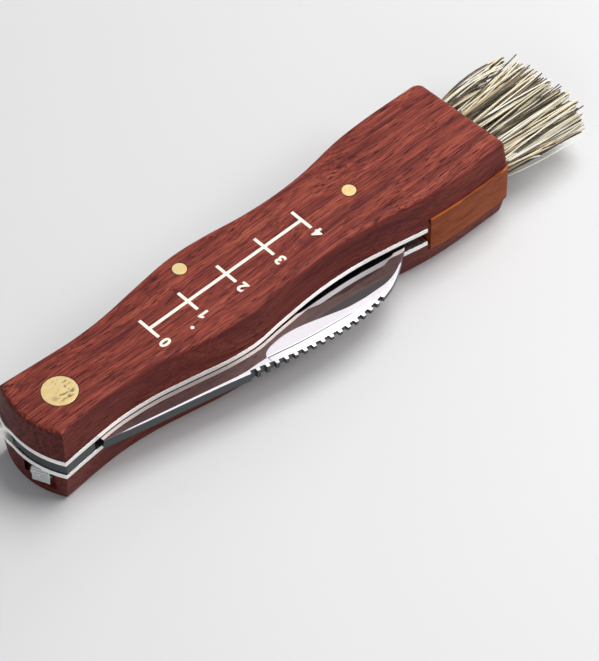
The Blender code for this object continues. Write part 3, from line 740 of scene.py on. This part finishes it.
def make_tuft(node_name, share, seed, material):
    """The loose bristles of one tuft; share runs from -1 at the slot side to 1 at the spine."""
    rng = random.Random(seed)
    inner, outer = tuft_axis(node_name)
    axis = (outer - inner).normalized()
    side = axis.cross(Vector((0, 0, 1))).normalized()
    rise = side.cross(axis).normalized()
    longer = MIDDLE_LONGER_MM * (1 - share ** 2)

    def spread(u, v, radius_mm):
        return (side * u + rise * v) * radius_mm * MM

    def scatter(radius_mm):
        return spread(rng.gauss(0, 1), rng.gauss(0, 1), radius_mm)

    clumps = [(disc_point(rng), abs(rng.gauss(0, CLUMP_SHORT_MM)))
              for _ in range(CLUMPS_PER_TUFT)]
    bm = bmesh.new()
    layers = (bm.verts.layers.float.new("strand_tone"), bm.verts.layers.float.new("strand_along"))
    for k in range(STRANDS_PER_TUFT):
        u, v = disc_point(rng)
        root = inner + axis * STRAND_START_MM * MM + spread(u, v, TUFT_ROOT_R_MM)
        outward = share - WITHIN_TUFT * u * math.copysign(1.0, side.y)
        (u, v), short = clumps[k % CLUMPS_PER_TUFT]
        tip = outer + spread(u, v, TUFT_TIP_R_MM) + scatter(CLUMP_R_MM)
        tip -= axis * (short + abs(rng.gauss(0, STRAND_SHORT_MM)) - longer) * MM
        tip.z += (ROWS_MIDDLE_MM * MM - tip.z) * rng.uniform(0, ROWS_LEAN)
        if k < STRAYS_PER_TUFT:
            tip += scatter(STRAY_SPREAD_MM)
            tip -= axis * rng.uniform(*STRAY_SHORT_MM) * MM
        if share < LOW_SHARE and k % LOW_EVERY == 0:
            tip = root + (tip - root) * rng.uniform(*LOW_LENGTH)
            tip.y -= LOW_DROP_MM * MM
        bow = Vector((0, rng.gauss(0, WAVER_Y_MM), rng.gauss(0, WAVER_Z_MM))) * MM
        if outward > 1.0:
            bow.y += rng.uniform(*BOW_MM) * MM
            tip -= axis * abs(rng.gauss(0, BOW_SHORT_MM)) * MM
        reach = tip - root
        path = (root, root + reach * BENDS[0] + bow, root + reach * BENDS[1] + bow, tip)
        add_strand(bm, path, rng.random(), layers)
    name = "bristles_" + node_name.replace("tuft_", "")
    mesh = mesh_of(bm, name)
    mesh.shade_smooth()
    mesh.set_sharp_from_angle(angle=math.radians(STRAND_END_ANGLE))
    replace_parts(add_piece(name, mesh, "handle", material), node_name)


def make_bristles():
    material = bristle_material()
    tufts = sorted(name for name in frame["nodes"] if name.startswith("tuft_"))
    centres = {name: tuft_axis(name)[1].y for name in tufts}
    low, high = min(centres.values()), max(centres.values())
    for seed, name in enumerate(tufts):
        share = 2 * (centres[name] - low) / (high - low) - 1
        make_tuft(name, share, seed, material)


def add_light(name, place_mm, size_mm, power, colour, aim_mm):
    lamp = bpy.data.lights.new(name, "AREA")
    lamp.shape = "RECTANGLE"
    lamp.size, lamp.size_y = size_mm[0] * MM, size_mm[1] * MM
    lamp.energy = power
    lamp.color = colour
    obj = bpy.data.objects.new(name, lamp)
    bpy.context.scene.collection.objects.link(obj)
    obj.location = Vector(place_mm) * MM
    aim = Vector(aim_mm) * MM - obj.location
    obj.rotation_euler = aim.to_track_quat("-Z", "Y").to_euler()


def make_stage():
    """Pale floor, soft lights and an even grey surround."""
    bm = bmesh.new()
    bmesh.ops.create_grid(bm, x_segments=1, y_segments=1, size=FLOOR_HALF)
    bmesh.ops.translate(bm, verts=bm.verts, vec=(0, 0, -FLOOR_DROP_MM * MM))
    mesh = mesh_of(bm, "floor")
    mesh.materials.append(floor_material())
    floor = bpy.data.objects.new("floor", mesh)
    bpy.context.scene.collection.objects.link(floor)
    for light in LIGHTS:
        add_light(*light)
    world = bpy.data.worlds.new("studio")
    world.use_nodes = True
    background = world.node_tree.nodes["Background"]
    background.inputs["Color"].default_value = WORLD_COLOUR
    background.inputs["Strength"].default_value = WORLD_STRENGTH
    bpy.context.scene.world = world
    bpy.context.scene.view_settings.view_transform = "Standard"


def make_camera():
    """The scene's camera; its roll turns the picture about the line of sight."""
    azimuth, elevation = math.radians(CAMERA_AZIMUTH), math.radians(CAMERA_ELEVATION)
    roll = math.radians(CAMERA_ROLL)
    right = Vector((math.cos(azimuth), -math.sin(azimuth), 0))
    ahead = Vector((math.sin(azimuth) * math.cos(elevation),
                    math.cos(azimuth) * math.cos(elevation), -math.sin(elevation)))
    up = right.cross(ahead)
    turned_right = math.cos(roll) * right + math.sin(roll) * up
    turned_up = -math.sin(roll) * right + math.cos(roll) * up
    data = bpy.data.cameras.new("camera")
    data.lens = CAMERA_LENS
    data.sensor_width = CAMERA_SENSOR
    data.clip_start = CAMERA_CLIP_START_MM * MM
    camera = bpy.data.objects.new("camera", data)
    bpy.context.scene.collection.objects.link(camera)
    turn = Matrix((turned_right, turned_up, -ahead)).transposed().to_4x4()
    place = (Vector(TARGET_MM) - ahead * CAMERA_DISTANCE_MM) * MM
    camera.matrix_world = Matrix.Translation(place) @ turn
    bpy.context.scene.camera = camera


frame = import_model()
refine_handle()
refine_metal()
refine_brass()
make_print()
make_bristles()
make_stage()
make_camera()
